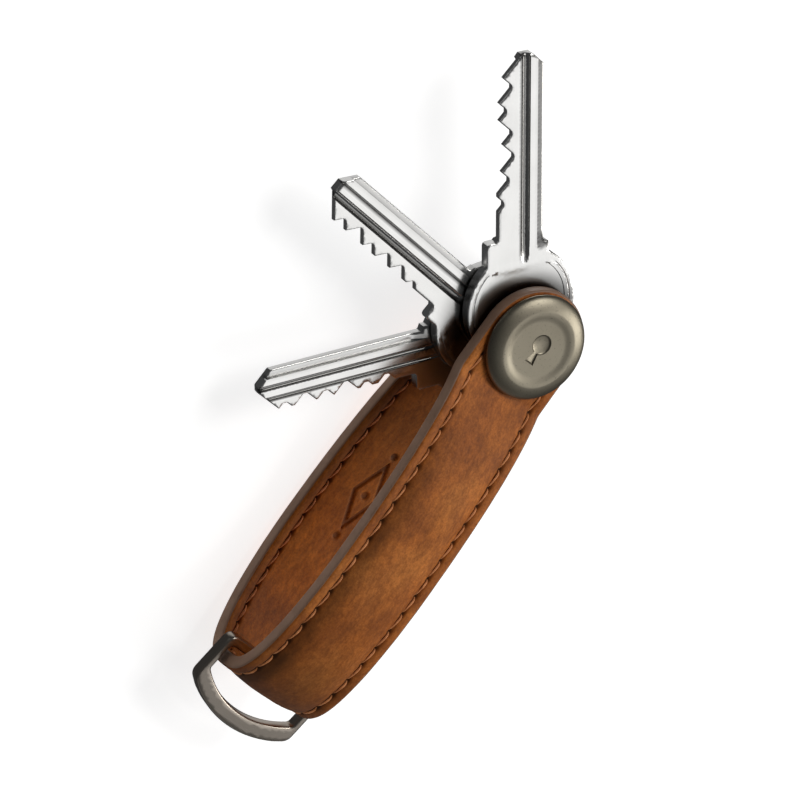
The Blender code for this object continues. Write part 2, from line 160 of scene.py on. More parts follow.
def scalar(tree, source, low, high):
    node = tree.nodes.new("ShaderNodeMapRange")
    node.inputs["To Min"].default_value = low
    node.inputs["To Max"].default_value = high
    tree.links.new(source, node.inputs["Value"])
    return node.outputs["Result"]


def bump(tree, shader, layers):
    """Stacked bumps: (height socket, strength, distance in metres)."""
    normal = None
    for height, strength, distance in layers:
        node = tree.nodes.new("ShaderNodeBump")
        node.inputs["Strength"].default_value = strength
        node.inputs["Distance"].default_value = distance
        tree.links.new(height, node.inputs["Height"])
        if normal is not None:
            tree.links.new(normal, node.inputs["Normal"])
        normal = node.outputs["Normal"]
    tree.links.new(normal, shader.inputs["Normal"])


def darken(tree, colour, dark):
    """Blends towards a dark colour by the piece's attribute of painted shade."""
    painted_shade = tree.nodes.new("ShaderNodeAttribute")
    painted_shade.attribute_name = "painted_shade"
    return mix(tree, painted_shade.outputs["Fac"], colour, dark)


def leather(name, dark, base, warm, depth):
    """Oiled pull-up leather: soft blotches, warm stretch marks, fine pebble grain, and painted shade blended
    in by the piece's attribute.
    """
    mat, tree, shader = graph(name)
    flat = coordinates(tree)
    drawn = coordinates(tree, (1.0, 0.55, 1.0))
    blotch = noise_node(tree, flat, 85.0, 4.0, 0.55)
    stretch = noise_node(tree, drawn, 320.0, 5.0, 0.65)
    nap = noise_node(tree, coordinates(tree, (1.0, 0.45, 1.0)), 1300.0, 4.0, 0.7)
    fine = noise_node(tree, flat, 2600.0, 3.0, 0.6)
    colour = ramp(tree, blotch, ((0.36, dark), (0.50, base), (0.66, warm)))
    pull = ramp(tree, stretch, ((0.40, (0.90, 0.89, 0.88)), (0.68, (1.22, 1.20, 1.10))))
    colour = mix(tree, 0.9, colour, pull, "MULTIPLY")
    hair = ramp(tree, nap, ((0.36, (0.66, 0.62, 0.56)), (0.62, (1.16, 1.17, 1.20))))
    colour = mix(tree, 0.75, colour, hair, "MULTIPLY")
    grain = ramp(tree, fine, ((0.35, (0.80, 0.77, 0.74)), (0.62, (1.08, 1.08, 1.08))))
    colour = mix(tree, 0.75, colour, grain, "MULTIPLY")
    # Painted shade: blends towards this dark brown where the piece's attribute says.
    colour = darken(tree, colour, (0.072, 0.024, 0.005))
    tree.links.new(colour, shader.inputs["Base Color"])
    tree.links.new(scalar(tree, blotch, 0.50, 0.68), shader.inputs["Roughness"])
    shader.inputs["Specular IOR Level"].default_value = 0.20
    shader.inputs["Sheen Weight"].default_value = 0.03
    shader.inputs["Sheen Roughness"].default_value = 0.5
    pebble = tree.nodes.new("ShaderNodeTexVoronoi")
    pebble.inputs["Scale"].default_value = 1700.0
    tree.links.new(flat, pebble.inputs["Vector"])
    bump(tree, shader, ((pebble.outputs["Distance"], 0.35, depth), (fine, 0.35, depth),
                        (stretch, 0.30, 4.0 * depth)))
    return mat


def painted_edge():
    mat, tree, shader = graph("painted_edge")
    flat = coordinates(tree)
    soft = noise_node(tree, flat, 420.0, 3.0, 0.5)
    fine = noise_node(tree, flat, 3500.0, 2.0, 0.5)
    colour = ramp(tree, soft, ((0.30, (0.215, 0.122, 0.076)), (0.70, (0.260, 0.152, 0.098))))
    tree.links.new(colour, shader.inputs["Base Color"])
    tree.links.new(scalar(tree, soft, 0.38, 0.52), shader.inputs["Roughness"])
    bump(tree, shader, ((soft, 0.15, 0.0002), (fine, 0.2, 0.00003)))
    return mat


def thread_material():
    mat, tree, shader = graph("waxed_thread")
    flat = coordinates(tree)
    tone = noise_node(tree, flat, 700.0, 3.0, 0.6)
    fibre = noise_node(tree, flat, 6000.0, 2.0, 0.6)
    colour = ramp(tree, tone, ((0.30, (0.42, 0.140, 0.045)), (0.65, (0.80, 0.330, 0.130))))
    tree.links.new(colour, shader.inputs["Base Color"])
    shader.inputs["Roughness"].default_value = 0.60
    shader.inputs["Specular IOR Level"].default_value = 0.25
    bump(tree, shader, ((fibre, 0.6, 0.00006),))
    return mat


def metal(name, low, high, rough, streak=(1.0, 1.0, 1.0), scale=900.0, strength=0.05, specks=0.0,
          shade_colour=None, attribute=None):
    """Plated or brushed metal: tone and gloss drift a little, with streaks along the stretched axis, and with
    a shade colour, painted shade by the piece's attribute.
    """
    mat, tree, shader = graph(name)
    drawn = coordinates(tree, streak, attribute)
    even = coordinates(tree, attribute=attribute)
    lines = noise_node(tree, drawn, scale, 4.0, 0.6)
    drift = noise_node(tree, even, 140.0, 3.0, 0.5)
    colour = ramp(tree, drift, ((0.30, low), (0.70, high)))
    # Painted shade: darker towards the shade colour where the piece's attribute says.
    if shade_colour:
        colour = darken(tree, colour, shade_colour)
    if specks:
        spots = noise_node(tree, even, 2400.0, 2.0, 0.5)
        dust = ramp(tree, spots, ((0.62, (1.0, 1.0, 1.0)), (0.72, (1 - specks, 1 - specks, 1 - specks))))
        colour = mix(tree, 1.0, colour, dust, "MULTIPLY")
    tree.links.new(colour, shader.inputs["Base Color"])
    shader.inputs["Metallic"].default_value = 1.0
    tree.links.new(scalar(tree, lines, rough[0], rough[1]), shader.inputs["Roughness"])
    bump(tree, shader, ((lines, strength, 0.00003),))
    return mat


def nylon():
    mat, tree, shader = graph("moulded_nylon")
    flat = coordinates(tree)
    fine = noise_node(tree, flat, 3000.0, 2.0, 0.5)
    colour = ramp(tree, fine, ((0.3, (0.018, 0.018, 0.019)), (0.7, (0.035, 0.034, 0.034))))
    tree.links.new(colour, shader.inputs["Base Color"])
    shader.inputs["Roughness"].default_value = 0.45
    bump(tree, shader, ((fine, 0.3, 0.00003),))
    return mat


OUTER = leather("outer_leather", (0.350, 0.100, 0.015), (0.460, 0.142, 0.024), (0.560, 0.190, 0.038), 0.00005)
INNER = leather("inner_leather", (0.360, 0.115, 0.014), (0.480, 0.160, 0.021), (0.580, 0.205, 0.030), 0.00005)
EDGE = painted_edge()
THREAD = thread_material()
# The nickel keys carry painted shade and painted dark reflections, blended towards this near-black.
NICKEL = metal("nickel", (0.74, 0.735, 0.72), (0.82, 0.815, 0.80), (0.16, 0.26), streak=(1.0, 0.06, 1.0),
               scale=1500.0, strength=0.14, shade_colour=(0.040, 0.039, 0.037), attribute="local")
BRONZE = metal("olive_bronze", (0.245, 0.220, 0.168), (0.272, 0.246, 0.190), (0.37, 0.44), specks=0.30,
               scale=2500.0)
GUNMETAL = metal("gunmetal", (0.42, 0.370, 0.315), (0.46, 0.408, 0.350), (0.27, 0.33), specks=0.04)
STEEL = metal("steel", (0.42, 0.41, 0.39), (0.52, 0.51, 0.49), (0.25, 0.38), streak=(1.0, 1.0, 0.1))
NYLON = nylon()


# ---------------------------------------------------------------- mesh helpers

def piece(name, points, faces, mat, body, angle=35.0, matrix=None, replaces=(), painted_shade=None):
    """A closed mesh in metres that rides on a body and stands for CAD nodes."""
    local = [Vector(p) for p in points]
    placed = local if matrix is None else [matrix @ p for p in local]
    obj = plain_mesh(name, placed, faces, mat)
    # Painted shade per point, kept as an attribute that the material blends by.
    if painted_shade is not None:
        layer = obj.data.attributes.new("painted_shade", "FLOAT", "POINT")
        layer.data.foreach_set("value", np.clip(painted_shade, 0.0, 1.0).astype(np.float32))
    if matrix is not None:
        layer = obj.data.attributes.new("local", "FLOAT_VECTOR", "POINT")
        layer.data.foreach_set("vector", np.array(local, np.float32).ravel())
    finish_piece(obj, body, angle, replaces)
    return obj


def finish_piece(obj, body, angle, replaces=()):
    obj.data.shade_smooth()
    obj.data.set_sharp_from_angle(angle=math.radians(angle))
    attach(obj, body)
    if replaces:
        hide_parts(*replaces)


def baked(obj, cutters=()):
    """Cuts the cutters out of obj, bakes every modifier into its mesh and drops the cutters."""
    for cutter in cutters:
        modifier = obj.modifiers.new("cut", "BOOLEAN")
        modifier.operation = "DIFFERENCE"
        modifier.solver = "EXACT"
        modifier.object = cutter
    bpy.context.view_layer.update()
    depsgraph = bpy.context.evaluated_depsgraph_get()
    mesh = bpy.data.meshes.new_from_object(obj.evaluated_get(depsgraph), depsgraph=depsgraph)
    obj.modifiers.clear()
    obj.data = mesh
    for cutter in cutters:
        bpy.data.objects.remove(cutter, do_unlink=True)


def plain_mesh(name, points, faces, mat=None):
    mesh = bpy.data.meshes.new(name)
    mesh.from_pydata([tuple(p) for p in points], [], faces)
    bm = bmesh.new()
    bm.from_mesh(mesh)
    bmesh.ops.recalc_face_normals(bm, faces=bm.faces)
    bm.to_mesh(mesh)
    bm.free()
    obj = bpy.data.objects.new(name, mesh)
    if mat:
        mesh.materials.append(mat)
    bpy.context.scene.collection.objects.link(obj)
    return obj


def turned_mesh(profile, steps):
    """Points in metres and faces of a body turned about Z; ends on the axis close there."""
    points = []
    rings = []
    for radius, z in profile:
        if radius < 1e-9:
            rings.append([len(points)])
            points.append((0.0, 0.0, z * MM))
            continue
        ring = []
        for i in range(steps):
            angle = math.tau * i / steps
            ring.append(len(points))
            points.append((radius * math.cos(angle) * MM, radius * math.sin(angle) * MM, z * MM))
        rings.append(ring)
    closes = len(rings[0]) > 1
    faces = []
    for n in range(len(rings) if closes else len(rings) - 1):
        low = rings[n]
        high = rings[(n + 1) % len(rings)]
        for i in range(steps):
            k = (i + 1) % steps
            if len(low) == 1:
                faces.append((low[0], high[i], high[k]))
            elif len(high) == 1:
                faces.append((low[i], low[k], high[0]))
            else:
                faces.append((low[i], low[k], high[k], high[i]))
    return points, faces


def loft_faces(rings, count, closed=False):
    """Faces through rings of equal count, laid one after the other."""
    faces = []
    for i in range(rings if closed else rings - 1):
        a = i * count
        b = ((i + 1) % rings) * count
        for j in range(count):
            k = (j + 1) % count
            faces.append((a + j, a + k, b + k, b + j))
    if not closed:
        faces.append(tuple(range(count)))
        faces.append(tuple(range((rings - 1) * count, rings * count)))
    return faces


# ---------------------------------------------------------------- strap path

def strap_path():
    """The strap's outer face from the front end to the back end: length, l, n and inward direction."""
    t = np.linspace(0.0, 1.0, 240)
    bend = ((-FLAT_END, LEG_FACE), (-FLAT_END - BEND_LEAD, LEG_FACE))
    bend += ((-FLAT_END - BEND_REACH, BELLY), (-BELLY_AT, BELLY))
    share = ((1 - t) ** 3, 3 * (1 - t) ** 2 * t, 3 * (1 - t) * t * t, t ** 3)
    leg_l = sum(w * p[0] for w, p in zip(share, bend))
    leg_n = sum(w * p[1] for w, p in zip(share, bend))
    turn = 0.5 * math.pi * (1.0 - (1.0 - t[1:]) ** 1.6)
    fold_l = -BELLY_AT - (POST_TO_FOLD - BELLY_AT) * np.sin(turn)
    fold_n = BELLY * np.maximum(np.cos(turn), 0.0) ** (2.0 / FOLD_FULLNESS)
    line_l = np.concatenate([[HALF_WIDTH], leg_l, fold_l])
    line_n = np.concatenate([[LEG_FACE], leg_n, fold_n])
    line_l = np.concatenate([line_l, line_l[-2::-1]])
    line_n = np.concatenate([line_n, -line_n[-2::-1]])
    run = np.concatenate([[0.0], np.cumsum(np.hypot(np.diff(line_l), np.diff(line_n)))])
    s = np.linspace(0.0, run[-1], 4001)
    l = np.interp(s, run, line_l)
    n = np.interp(s, run, line_n)
    kernel = np.ones(9) / 9.0
    grad_l = np.convolve(np.gradient(l, s), kernel, "same")
    grad_n = np.convolve(np.gradient(n, s), kernel, "same")
    size = np.hypot(grad_l, grad_n)
    return s, l, n, -grad_n / size, grad_l / size


PATH = strap_path()
LENGTH = PATH[0][-1]


def place(x, s, d):
    """World points of strap coordinates: x across, s along the outer face, d deep into the strap."""
    x, s, d = np.broadcast_arrays(np.asarray(x, float), np.asarray(s, float), np.asarray(d, float))
    l = np.interp(s, PATH[0], PATH[1]) + d * np.interp(s, PATH[0], PATH[3])
    n = np.interp(s, PATH[0], PATH[2]) + d * np.interp(s, PATH[0], PATH[4])
    out = np.stack([x, l, n], -1) * MM
    return out + np.array(POST)


def from_post(s):
    """Distance along either leg from the post's line towards the fold."""
    return np.minimum(s, LENGTH - s) - HALF_WIDTH


SEAM_FROM = HALF_WIDTH + 6.0
STITCH_COUNT = int(round((LENGTH - 2.0 * SEAM_FROM) / STITCH_PITCH))
STITCH_STEP = (LENGTH - 2.0 * SEAM_FROM) / STITCH_COUNT
LEATHER_EDGE = HALF_WIDTH - 0.18

# Relief of the leather, millimetres: its crown on each face, the rise between seam and edge, the sunk
# seam, each stitch's pit, long and short unevenness, the pressed ornament and the rounded edge.
OUTER_CROWN = 1.35
INNER_CROWN = 0.35
RIM_RISE = 0.14
SEAM_DIP = 0.24
STITCH_PIT = 0.30
SWELL = 0.05
RIPPLE = 0.02
ORNAMENT_DEPTH = 0.30
EDGE_REACH = 0.45
EDGE_SINK = 0.30


def edge_distance(x, s):
    q = from_post(s)
    radial = np.where(q < 0.0, np.hypot(x, q), np.abs(x))
    return LEATHER_EDGE - radial


def uneven(x, s, scale, seed):
    flat_x = np.asarray(x).ravel()
    flat_s = np.asarray(s).ravel()
    values = [noise.noise(Vector((a * scale, b * scale, seed))) for a, b in zip(flat_x, flat_s)]
    return np.array(values).reshape(np.shape(x))


ORNAMENT_AT = LENGTH - HALF_WIDTH - 38.0


def ornament(x, s):
    """Depth of a plain debossed lozenge between two dots, on the back leg's inner face (0 to 1)."""
    along = np.abs(s - ORNAMENT_AT)
    across = np.abs(x - 0.2)
    lozenge = along / 6.2 + across / 2.6
    line = 1.0 - smooth(0.25, 0.50, np.abs(lozenge - 1.0) * 2.45)
    core = 1.0 - smooth(0.55, 0.90, np.hypot(along, across))
    dots = 1.0 - smooth(0.50, 0.85, np.hypot(along - 8.4, across))
    return np.maximum(np.maximum(line, core), dots)


def relief(x, s, face):
    """Height of the leather's face over its flat (millimetres) and its painted shade: darker in the seam and
    stitch pits, on the crown's left slope, towards the fold, on the inner face outside the seams and by the
    post, in the ornament and at the rounded edge.
    """
    q = from_post(s)
    edge = edge_distance(x, s)
    ax = np.abs(x)
    sewn = smooth(4.5, 6.5, q)
    if face == "outer":
        crown = OUTER_CROWN * smooth(10.0, 36.0, q) * (1.0 - 0.60 * smooth(60.0, 82.0, q))
        crown += 0.10 * smooth(9.6, 14.0, q)
        power = 3.2
    else:
        crown = INNER_CROWN * smooth(12.0, 34.0, q) * (1.0 - smooth(50.0, 60.0, q))
        power = 3.0
    inside = np.clip(1.0 - (ax / (SEAM - 0.25)) ** power, 0.0, 1.0)
    height = crown * inside
    rim = np.clip((ax - SEAM - 0.2) / (LEATHER_EDGE - SEAM - 0.2), 0.0, 1.0)
    loose = 1.0 if face == "outer" else 1.0 - smooth(52.0, 62.0, q)
    height += RIM_RISE * np.sin(math.pi * rim) * sewn * loose
    dip = np.exp(-((ax - SEAM) / 0.34) ** 2) * sewn
    step = (s - SEAM_FROM) / STITCH_STEP
    off = (step - np.round(step)) * STITCH_STEP
    pit = np.exp(-(off / 0.46) ** 2 - ((ax - SEAM) / 0.40) ** 2) * sewn
    height -= SEAM_DIP * dip + STITCH_PIT * pit
    height += SWELL * uneven(x, s, 0.16, 3.0) * smooth(9.5, 14.0, q) * loose
    height += RIPPLE * uneven(x, s, 0.9, 9.0) * smooth(9.5, 14.0, q) * loose
    height -= 0.06 * (1.0 - loose)
    # Painted shade: darker in the sunk seam and in each stitch's pit.
    dark = 0.50 * dip + 0.95 * pit
    if face == "outer":
        # Painted shade on the outer face: patchy along the left slope of the crown, away from the light, and
        # towards the fold, where the face turns from the light.
        left = np.exp(-((x + SEAM - 1.3) / 1.6) ** 2)
        shade_patches = 0.85 + 0.5 * uneven(x, s, 0.22, 21.0)
        dark = dark + 0.48 * left * shade_patches * smooth(18.0, 36.0, q)
        dark = dark + 0.50 * smooth(56.0, 74.0, q)
    if face == "inner":
        # Painted shade on the inner face: darker outside the seams, and towards the post, where the keys
        # shade it.
        dark = dark + 0.25 * smooth(SEAM, SEAM + 0.6, ax) + 0.42 * (1.0 - smooth(20.0, 46.0, q))
        mark = ornament(x, s)
        height -= ORNAMENT_DEPTH * mark
        # The pressed ornament is painted darker: painted shade in its recess.
        dark = dark + 0.55 * mark
    rounding = np.clip(1.0 - np.maximum(edge, 0.0) / EDGE_REACH, 0.0, 1.0)
    height -= EDGE_SINK * rounding ** 2
    # Painted shade along the rounded edge.
    dark = dark + 0.25 * rounding ** 2
    return height, dark


def station_list(fine_at=None):
    """Places along the strap, closer together at the round ends and at any fine work."""
    turn = np.radians(np.linspace(2.0, 90.0, 26))
    end = HALF_WIDTH - LEATHER_EDGE * np.cos(turn)
    body = np.arange(HALF_WIDTH + 0.5, LENGTH - HALF_WIDTH - 0.4, STITCH_STEP / 9.0)
    if fine_at is not None:
        near = np.abs(body - fine_at) < 10.0
        fine = np.arange(fine_at - 10.0, fine_at + 10.0, 0.22)
        body = np.sort(np.concatenate([body[~near], fine]))
    return np.concatenate([end, body, (LENGTH - end)[::-1]])


def ply(name, face, mat, node):
    stations = station_list(ORNAMENT_AT if face == "inner" else None)
    share = np.concatenate([np.linspace(0.0, 0.70, 26 if face == "outer" else 30),
                            np.linspace(0.715, 0.83, 12), np.linspace(0.85, 0.95, 6),
                            np.array([0.965, 0.98, 0.992, 1.0])])
    share = np.concatenate([-share[:0:-1], share])
    q = from_post(stations)
    width = np.where(q < 0.0, np.sqrt(np.maximum(LEATHER_EDGE ** 2 - q ** 2, 1e-6)), LEATHER_EDGE)
    x = width[:, None] * share[None, :]
    s = np.repeat(stations[:, None], len(share), 1)
    height, dark = relief(x, s, face)
    hidden = np.array([1.0, 0.5, 0.0, -0.5, -1.0])
    hx = width[:, None] * hidden[None, :]
    hs = np.repeat(stations[:, None], len(hidden), 1)
    if face == "outer":
        top = place(x, s, -height)
        back = place(hx, hs, np.full_like(hx, PLY))
    else:
        top = place(x, s, STRAP_THICKNESS + height)
        back = place(hx, hs, np.full_like(hx, STRAP_THICKNESS - PLY))
    rings = np.concatenate([top, back], 1)
    count = rings.shape[1]
    shade = np.concatenate([dark, np.zeros_like(hx)], 1)
    points = rings.reshape(-1, 3)
    obj = piece(name, points, loft_faces(len(stations), count), mat, "strap", 40.0,
                replaces=(node,), painted_shade=shade.ravel())
    drill, faces = turned_mesh([(0.0, -12.0), (HOLE_RADIUS, -12.0), (HOLE_RADIUS, 12.0), (0.0, 12.0)], 64)
    cutter = plain_mesh("drill", [Vector(p) + POST for p in drill], faces)
    baked(obj, [cutter])
    return obj


def edge_paint():
    """The painted edge that closes both plies, one band all the way round the strap."""
    turn = np.radians(np.linspace(0.0, 90.0, 31))
    arc_x = HALF_WIDTH * np.sin(turn)
    arc_s = HALF_WIDTH - HALF_WIDTH * np.cos(turn)
    run_s = np.arange(HALF_WIDTH + 0.5, LENGTH - HALF_WIDTH - 0.4, 0.5)
    right_x = np.concatenate([arc_x, np.full(len(run_s), HALF_WIDTH), arc_x[::-1]])
    right_s = np.concatenate([arc_s, run_s, LENGTH - arc_s[::-1]])
    out_x = np.concatenate([np.sin(turn), np.ones(len(run_s)), np.sin(turn)[::-1]])
    out_s = np.concatenate([-np.cos(turn), np.zeros(len(run_s)), np.cos(turn)[::-1]])
    path_x = np.concatenate([right_x, -right_x[-2:0:-1]])
    path_s = np.concatenate([right_s, right_s[-2:0:-1]])
    nx = np.concatenate([out_x, -out_x[-2:0:-1]])
    ns = np.concatenate([out_s, out_s[-2:0:-1]])
    section = [(-0.55, 0.16), (-0.30, 0.12), (-0.14, 0.20), (-0.04, 0.38), (0.0, 0.70), (0.01, 1.25)]
    section += [(o, STRAP_THICKNESS - d) for o, d in section[-2::-1]]
    section = np.array(section)
    wave = 0.02 * uneven(path_x, path_s, 0.35, 5.0)
    x = path_x[:, None] + nx[:, None] * (section[None, :, 0] + wave[:, None])
    s = path_s[:, None] + ns[:, None] * (section[None, :, 0] + wave[:, None])
    d = np.repeat(section[None, :, 1], len(path_x), 0)
    beyond = np.clip(-s, 0.0, None) + np.clip(s - LENGTH, 0.0, None)
    rings = place(x, np.clip(s, 0.0, LENGTH), d)
    rings[..., 1] += beyond * MM
    points = rings.reshape(-1, 3)
    faces = loft_faces(len(path_x), section.shape[0], closed=True)
    piece("strap_edge_paint", points, faces, EDGE, "strap", 50.0, replaces=("strap_core",))


# Stitches, millimetres: radius of the thread, slant, gap to each hole's middle, depth of its ends.
THREAD_RADIUS = 0.23
THREAD_SIDES = 8
STITCH_LEAN = 0.20
STITCH_INSET = 0.22
STITCH_SINK = 0.50


def stitches(name, face, x_row, node):
    """One row of slanted stitches, each rising out of one hole and sinking into the next."""
    lean = STITCH_LEAN if face == "outer" else -STITCH_LEAN
    t = np.linspace(0.0, 1.0, 12)
    sides = THREAD_SIDES
    all_points = []
    faces = []
    for k in range(STITCH_COUNT):
        start = SEAM_FROM + k * STITCH_STEP
        s = start + STITCH_INSET + (STITCH_STEP - 2.0 * STITCH_INSET) * t
        wob = noise.noise(Vector((k * 1.7, x_row, 4.0)))
        x = x_row + lean * np.cos(math.pi * t) + 0.05 * wob * np.sin(math.pi * t)
        lift = np.sin(math.pi * t) ** 0.55
        high = -STITCH_SINK + (STITCH_SINK + 0.05 * wob) * lift
        depth = -high if face == "outer" else STRAP_THICKNESS + high
        centre = place(x, s, depth) / MM
        along = np.gradient(centre, axis=0)
        along /= np.linalg.norm(along, axis=1)[:, None]
        side = np.cross(along, (1.0, 0.0, 0.0))
        side /= np.linalg.norm(side, axis=1)[:, None]
        other = np.cross(along, side)
        radius = THREAD_RADIUS * (0.75 + 0.25 * np.sin(math.pi * t)) * (1.0 + 0.05 * wob)
        base = len(all_points) * sides
        for c, u, v, r, a in zip(centre, side, other, radius, t):
            ring = []
            for j in range(sides):
                angle = math.tau * j / sides
                ply_r = r * (1.0 + 0.10 * math.cos(2.0 * angle + 9.0 * a))
                ring.append((c + ply_r * (u * 0.85 * math.cos(angle) + v * math.sin(angle))) * MM)
            all_points.append(ring)
        for i in range(len(t) - 1):
            a = base + i * sides
            b = a + sides
            for j in range(sides):
                m = (j + 1) % sides
                faces.append((a + j, a + m, b + m, b + j))
        faces.append(tuple(range(base, base + sides)))
        faces.append(tuple(range(base + (len(t) - 1) * sides, base + len(t) * sides)))
    points = [p for ring in all_points for p in ring]
    piece(name, points, faces, THREAD, "strap", 60.0, replaces=(node,))


# ---------------------------------------------------------------- plates with relief

def offset_loop(loop, distance):
    """A loop moved to its left, where the material is."""
    points = np.array(loop)
    before = points - np.roll(points, 1, 0)
    after = np.roll(points, -1, 0) - points
    before /= np.linalg.norm(before, axis=1)[:, None] + 1e-12
    after /= np.linalg.norm(after, axis=1)[:, None] + 1e-12
    n1 = np.stack([-before[:, 1], before[:, 0]], 1)
    n2 = np.stack([-after[:, 1], after[:, 0]], 1)
    total = n1 + n2
    size = np.maximum((total ** 2).sum(1), 0.8)
    return points + total * (2.0 * distance / size)[:, None]


def dense(loop, step):
    """A loop with points at most a step apart."""
    out = []
    for i, a in enumerate(loop):
        b = loop[(i + 1) % len(loop)]
        parts = max(1, int(math.ceil(math.dist(a, b) / step)))
        for j in range(parts):
            t = j / parts
            out.append((a[0] + (b[0] - a[0]) * t, a[1] + (b[1] - a[1]) * t))
    return out


def inside_loops(points, loops):
    """Even-odd test of points against all loops."""
    result = np.zeros(len(points), bool)
    px, py = points[:, 0], points[:, 1]
    for loop in loops:
        a = np.array(loop)
        b = np.roll(a, -1, 0)
        for (x0, y0), (x1, y1) in zip(a, b):
            if y0 == y1:
                continue
            hit = ((y0 > py) != (y1 > py)) & (px < (x1 - x0) * (py - y0) / (y1 - y0) + x0)
            result ^= hit
    return result


def loop_distance(points, loops):
    best = np.full(len(points), 1e9)
    for loop in loops:
        a = np.array(loop)
        b = np.roll(a, -1, 0)
        for p, q in zip(a, b):
            run = q - p
            size = run @ run
            if size < 1e-12:
                continue
            t = np.clip(((points - p) @ run) / size, 0.0, 1.0)
            gap = points - (p + t[:, None] * run)
            best = np.minimum(best, (gap ** 2).sum(1))
    return np.sqrt(best)


def relief_plate(loops, lines, grid, top, bottom, rounding):
    """A plate between two height fields with rounded edges. Loops keep the material on their left."""
    verts = []
    edges = []
    for loop in loops:
        for ring in [loop] + [offset_loop(loop, inset) for inset, _ in rounding[1:]]:
            base = len(verts)
            verts += [tuple(p) for p in ring]
            edges += [(base + i, base + (i + 1) % len(ring)) for i in range(len(ring))]
    for line in lines:
        base = len(verts)
        verts += [tuple(p) for p in line]
        edges += [(base + i, base + i + 1) for i in range(len(line) - 1)]
    if len(grid):
        grid = np.array(grid)
        keep = inside_loops(grid, loops)
        grid = grid[keep]
        keep = loop_distance(grid, loops) > rounding[-1][0] + 0.12
        verts += [tuple(p) for p in grid[keep]]
    flat, _, tris, _, _, _ = delaunay_2d_cdt([Vector(v) for v in verts], edges, [], 0, 1e-5)
    flat = np.array([tuple(v) for v in flat])
    tris = np.array([list(t) for t in tris if len(t) == 3])
    tris = tris[inside_loops(flat[tris].mean(1), loops)]
    used = np.unique(tris)
    renumber = -np.ones(len(flat), int)
    renumber[used] = np.arange(len(used))
    flat = flat[used]
    tris = renumber[tris]
    corner = flat[tris]
    area = np.cross(corner[:, 1] - corner[:, 0], corner[:, 2] - corner[:, 0])
    tris[area < 0] = tris[area < 0][:, ::-1]
    gap = loop_distance(flat, loops)
    sink = np.interp(gap, [r[0] for r in rounding], [r[1] for r in rounding])
    high = top(flat[:, 0], flat[:, 1]) - sink
    low = bottom(flat[:, 0], flat[:, 1]) + sink
    count = len(flat)
    points = np.concatenate([np.column_stack([flat, high]), np.column_stack([flat, low])]) * MM
    faces = [tuple(t) for t in tris.tolist()]
    faces += [tuple(t[::-1]) for t in (tris + count).tolist()]
    seen = {}
    for a, b, c in tris.tolist():
        for u, v in ((a, b), (b, c), (c, a)):
            seen[(u, v)] = seen.get((u, v), 0) + 1
    for (u, v) in seen:
        if (v, u) not in seen:
            faces.append((v, u, u + count, v + count))
    return points, faces


# ---------------------------------------------------------------- keys

KEY_THICKNESS = 2.0
BOW_RADIUS = 10.3
BOW_CENTRE = 6.7
BACK_STEP = 0.9
CUT_FLAT = 0.7
TIP_CHAMFER = 3.6
TIP_BACK_CHAMFER = 2.5
TOOTH_LAND = 3.8
RAIL_DEPTH = 0.62
RAIL_LEAD = 2.6
RIM_RADIUS = 9.25
FIELD_RADIUS = 8.35
RIM_LINES = (9.45, 9.35, 9.15, 9.05, 8.45, 8.35)

# Angle from +Y towards -X, blade offset from the post, blade width, shoulder step, shoulder and blade
# length, first cut, cut spacing, cut depths, grooves (centre, half width, depth), rail width, and the
# painted shade: radii between which the bow's painted shade, a painted dark reflection by the button,
# fades, and how dark the rail is painted.
KEYS = (
    ("key_1", 41.4, 0.80, 8.90, 2.2, 19.0, 33.6, 6.9, 4.25, (0.95, 1.95, 2.85, 2.45, 1.35, 2.35),
     ((0.75, 0.85, 0.62),), 1.35, (9.8, 14.2, 0.70)),
    ("key_2", 85.7, 1.25, 8.55, 2.4, 17.5, 31.3, 6.6, 3.90, (0.85, 1.65, 1.65, 1.25, 2.05, 1.35),
     ((-0.65, 0.80, 0.60), (1.75, 0.22, 0.16)), 1.0, (11.5, 18.0, 0.20)),
    ("key_3", 133.4, 0.0, 7.40, 3.2, 18.4, 30.0, 5.7, 3.90, (1.30, 0.80, 1.90, 1.20, 1.70, 0.90),
     ((0.75, 0.52, 0.45), (-1.35, 0.40, 0.36)), 1.25, (12.0, 22.0, 0.20)),
)


def cut_edge(shoulder, first, spacing, depths):
    points = []
    places = [shoulder + first + i * spacing for i in range(len(depths))]
    points.append((places[0] - CUT_FLAT / 2.0 - depths[0], 0.0))
    for i, (spot, depth) in enumerate(zip(places, depths)):
        points.append((spot - CUT_FLAT / 2.0, depth))
        points.append((spot + CUT_FLAT / 2.0, depth))
        if i + 1 == len(depths):
            break
        room = spacing - CUT_FLAT
        peak = max((depth + depths[i + 1] - room) / 2.0, 0.0)
        points.append((spot + CUT_FLAT / 2.0 + depth - peak, peak))
        if peak <= 0.0 and room > depth + depths[i + 1] + 0.05:
            points.append((places[i + 1] - CUT_FLAT / 2.0 - depths[i + 1], 0.0))
    return points


